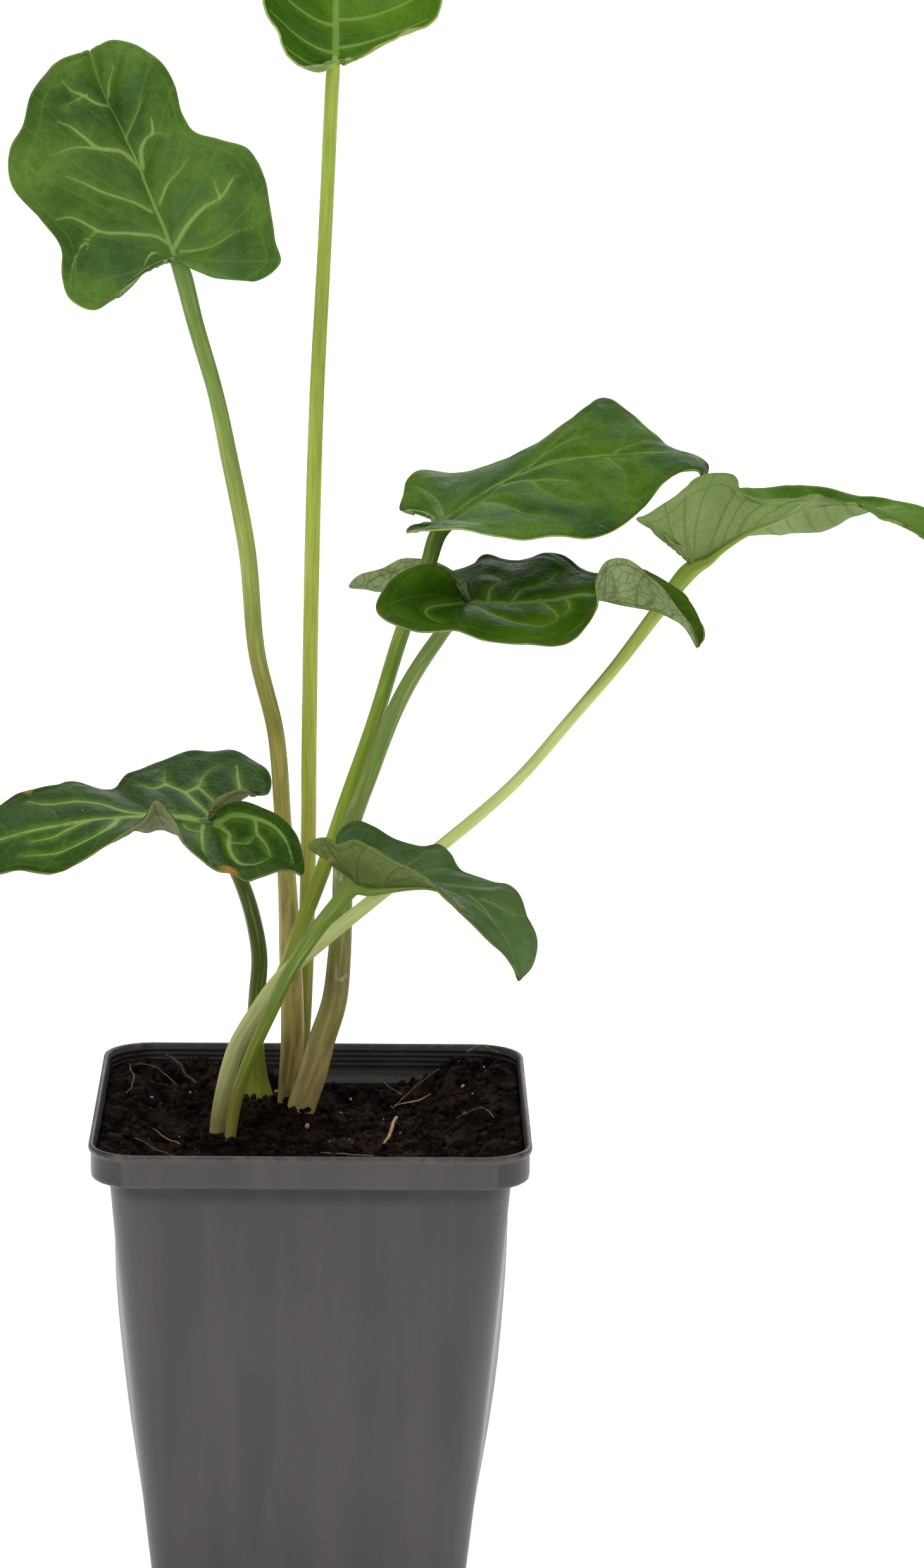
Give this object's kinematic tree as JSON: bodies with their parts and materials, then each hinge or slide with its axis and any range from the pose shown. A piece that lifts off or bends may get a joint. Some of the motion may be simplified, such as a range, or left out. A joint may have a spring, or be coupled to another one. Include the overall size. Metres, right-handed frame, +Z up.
{
  "type": "potted italian arum",
  "caption": "Italian arum with arrow-shaped leaves on long upright stalks, growing in a square plastic nursery pot filled with peat soil",
  "frame": {"origin": "middle of the underside of the pot", "axes": "+Z up; -Y is the front of the pot, +X its right"},
  "size_m": [0.2157, 0.1094, 0.3612],
  "materials": {
    "pot_plastic": "satin",
    "peat": "matte",
    "leaf": "satin",
    "dark_leaf": "satin",
    "stalk": "satin",
    "pale_stalk": "satin",
    "straw": "matte",
    "twig": "matte",
    "perlite": "matte",
    "pebble": "matte"
  },
  "bodies": {
    "root": {"nursery_pot": "pot_plastic", "soil": "peat", "petiole_upper_left": "stalk", "blade_upper_left": "leaf", "petiole_top": "stalk", "blade_top": "leaf", "petiole_upper_right": "stalk", "blade_upper_right": "leaf", "petiole_far_right": "pale_stalk", "blade_far_right": "leaf", "petiole_middle_right": "stalk", "blade_middle_right": "dark_leaf", "petiole_lower_right": "stalk", "blade_lower_right": "leaf", "petiole_lower_left": "stalk", "blade_lower_left": "dark_leaf", "straw": "straw", "bent_straw": "straw", "dark_twig": "twig", "pale_root": "straw", "perlite_grain_1": "perlite", "perlite_grain_2": "perlite", "perlite_grain_3": "perlite", "pebble_1": "pebble", "pebble_2": "pebble"}
  },
  "joints": []
}
